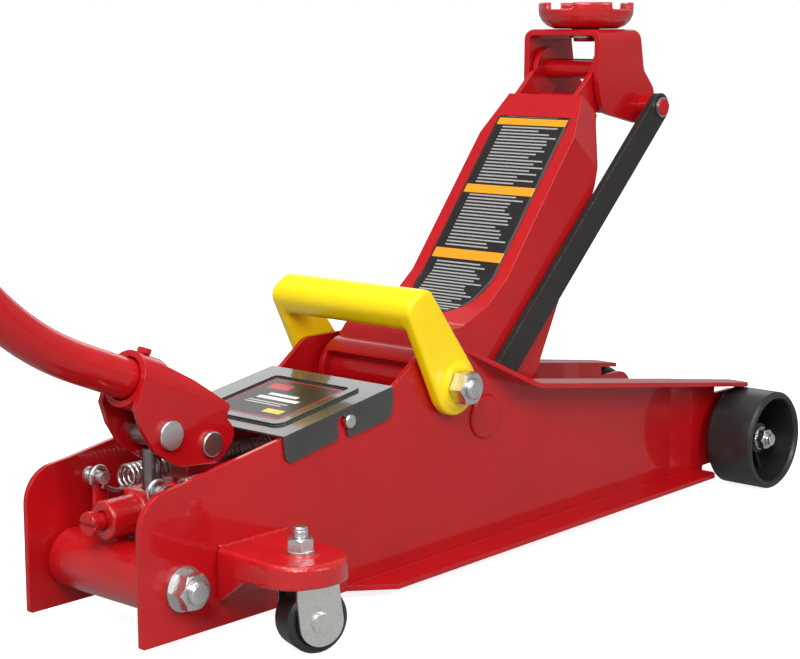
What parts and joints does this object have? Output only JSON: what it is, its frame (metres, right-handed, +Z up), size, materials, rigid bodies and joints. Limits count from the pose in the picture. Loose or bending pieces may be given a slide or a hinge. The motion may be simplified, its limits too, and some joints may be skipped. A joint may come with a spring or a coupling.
{
  "type": "hydraulic trolley jack",
  "caption": "Low wheeled hydraulic floor jack, raised: folded side plates, box lift arm with parallel rods, swivelling saddle, pump with bent handle, carry handle and casters.",
  "frame": {"origin": "middle of the underside of the bounding box, on the floor", "axes": "+X from the casters to the saddle, +Y to the left side, +Z up"},
  "size_m": [0.9586, 0.225, 0.5198],
  "materials": {
    "red_paint": "gloss enamel",
    "cast_red": "gloss enamel over a rough casting",
    "black_paint": "satin enamel",
    "zinc": "bright zinc plating",
    "dark_steel": "oiled ground steel",
    "yellow_plastic": "gloss",
    "black_plastic": "satin moulded",
    "grip_rubber": "matt ribbed"
  },
  "bodies": {
    "frame": {"side_plate_left": "red_paint", "side_plate_right": "red_paint", "cover_plate": "black_paint", "cover_screws": "zinc", "rod_studs": "red_paint", "pump_block": "cast_red", "spring_anchors": "zinc", "reservoir": "red_paint", "cylinder_gland": "dark_steel", "main_bolt": "zinc", "main_nut": "zinc", "trunnion_bolt": "zinc", "trunnion_nut": "zinc", "front_axle": "zinc", "axle_nuts": "zinc", "axle_spacers": "red_paint", "front_cross_tube": "red_paint", "caster_bracket_left": "cast_red", "caster_bracket_right": "cast_red", "caster_studs": "zinc", "caster_nuts": "zinc", "return_spring_left": "zinc", "return_spring_right": "zinc"},
    "lift_arm": {"lift_arm": "red_paint", "arm_pivot_tube": "red_paint", "arm_stay_tube": "red_paint", "ram_cross_pin": "red_paint"},
    "saddle_bracket": {"saddle_bracket": "red_paint", "bracket_pivot_pin": "red_paint", "rod_cross_pin": "red_paint", "rod_spacers": "red_paint", "rod_clips": "zinc"},
    "saddle": {"saddle": "cast_red", "saddle_clip": "zinc"},
    "radius_rod_left": {"radius_rod_left": "black_paint"},
    "radius_rod_right": {"radius_rod_right": "black_paint"},
    "ram": {"ram": "dark_steel", "crosshead": "dark_steel"},
    "pump_plunger": {"pump_plunger": "dark_steel"},
    "release_valve": {"release_valve": "red_paint"},
    "handle_socket": {"handle_socket": "red_paint", "fulcrum_pin": "zinc", "roller_pin": "zinc", "socket_screw": "red_paint"},
    "plunger_roller": {"plunger_roller": "dark_steel"},
    "handle": {"handle_lower": "red_paint", "handle_upper": "red_paint", "handle_grip": "grip_rubber", "handle_button": "zinc"},
    "carry_handle": {"carry_handle": "yellow_plastic"},
    "front_wheel_left": {"front_wheel_left": "black_plastic"},
    "front_wheel_right": {"front_wheel_right": "black_plastic"},
    "caster_fork_left": {"caster_fork_left": "zinc"},
    "caster_fork_right": {"caster_fork_right": "zinc"},
    "caster_wheel_left": {"caster_wheel_left": "black_plastic"},
    "caster_wheel_right": {"caster_wheel_right": "black_plastic"}
  },
  "joints": [
    {"name": "lift_arm_hinge", "type": "hinge", "parent": "frame", "child": "lift_arm", "pos_m": [0.1428, 0, 0.112], "axis": [0, -1, 0], "range_deg": [-48, 0]},
    {"name": "saddle_bracket_hinge", "type": "hinge", "parent": "lift_arm", "child": "saddle_bracket", "pos_m": [0.3303, 0, 0.291], "axis": [0, -1, 0], "range_deg": [0, 48]},
    {"name": "radius_rod_left_hinge", "type": "hinge", "parent": "frame", "child": "radius_rod_left", "pos_m": [0.1778, 0, 0.0875], "axis": [0, -1, 0], "range_deg": [-48, 0]},
    {"name": "radius_rod_right_hinge", "type": "hinge", "parent": "frame", "child": "radius_rod_right", "pos_m": [0.1778, 0, 0.0875], "axis": [0, -1, 0], "range_deg": [-48, 0]},
    {"name": "ram_slide", "type": "slide", "parent": "frame", "child": "ram", "axis": [1, 0, 0], "range_m": [-0.0408, 0], "deforming": ["return_spring_left", "return_spring_right"]},
    {"name": "saddle_swivel", "type": "hinge", "parent": "saddle_bracket", "child": "saddle", "pos_m": [0.3396, 0, 0.3175], "axis": [0, 0, 1], "continuous": true},
    {"name": "carry_handle_hinge", "type": "hinge", "parent": "frame", "child": "carry_handle", "pos_m": [0.1428, 0, 0.112], "axis": [0, -1, 0], "range_deg": [-30, 30]},
    {"name": "handle_socket_hinge", "type": "hinge", "parent": "frame", "child": "handle_socket", "pos_m": [-0.0162, 0, 0.0986], "axis": [0, 1, 0], "range_deg": [-22, 25]},
    {"name": "plunger_slide", "type": "slide", "parent": "frame", "child": "pump_plunger", "axis": [0, 0, 1], "range_m": [-0.0112, 0.0125]},
    {"name": "plunger_roller_spin", "type": "hinge", "parent": "handle_socket", "child": "plunger_roller", "pos_m": [-0.0452, 0, 0.1082], "axis": [0, 1, 0], "continuous": true},
    {"name": "handle_pull_out", "type": "slide", "parent": "handle_socket", "child": "handle", "axis": [-0.9272, 0, 0.3746], "range_m": [0, 0.05]},
    {"name": "release_valve_turn", "type": "hinge", "parent": "frame", "child": "release_valve", "pos_m": [-0.0852, 0.002, 0.065], "axis": [1, 0, 0], "range_deg": [0, 120]},
    {"name": "front_wheel_left_spin", "type": "hinge", "parent": "frame", "child": "front_wheel_left", "pos_m": [0.4453, 0.073, 0.034], "axis": [0, 1, 0], "continuous": true},
    {"name": "front_wheel_right_spin", "type": "hinge", "parent": "frame", "child": "front_wheel_right", "pos_m": [0.4453, -0.073, 0.034], "axis": [0, 1, 0], "continuous": true},
    {"name": "caster_fork_left_swivel", "type": "hinge", "parent": "frame", "child": "caster_fork_left", "pos_m": [-0.0207, 0.0875, 0.045], "axis": [0, 0, 1], "continuous": true},
    {"name": "caster_wheel_left_spin", "type": "hinge", "parent": "caster_fork_left", "child": "caster_wheel_left", "pos_m": [-0.01502, 0.08943, 0.0175], "axis": [-0.3223, 0.9466, 0], "continuous": true},
    {"name": "caster_fork_right_swivel", "type": "hinge", "parent": "frame", "child": "caster_fork_right", "pos_m": [-0.0207, -0.0875, 0.045], "axis": [0, 0, 1], "continuous": true},
    {"name": "caster_wheel_right_spin", "type": "hinge", "parent": "caster_fork_right", "child": "caster_wheel_right", "pos_m": [-0.01502, -0.08943, 0.0175], "axis": [0.3223, 0.9466, 0], "continuous": true}
  ],
  "couplings": [
    {"joint": "saddle_bracket_hinge", "follows": "lift_arm_hinge", "ratio": -1},
    {"joint": "radius_rod_left_hinge", "follows": "lift_arm_hinge", "ratio": 1},
    {"joint": "radius_rod_right_hinge", "follows": "lift_arm_hinge", "ratio": 1},
    {"joint": "ram_slide", "follows": "lift_arm_hinge", "m_per_rad": 0.048551},
    {"joint": "plunger_slide", "follows": "handle_socket_hinge", "m_per_rad": 0.0279}
  ]
}
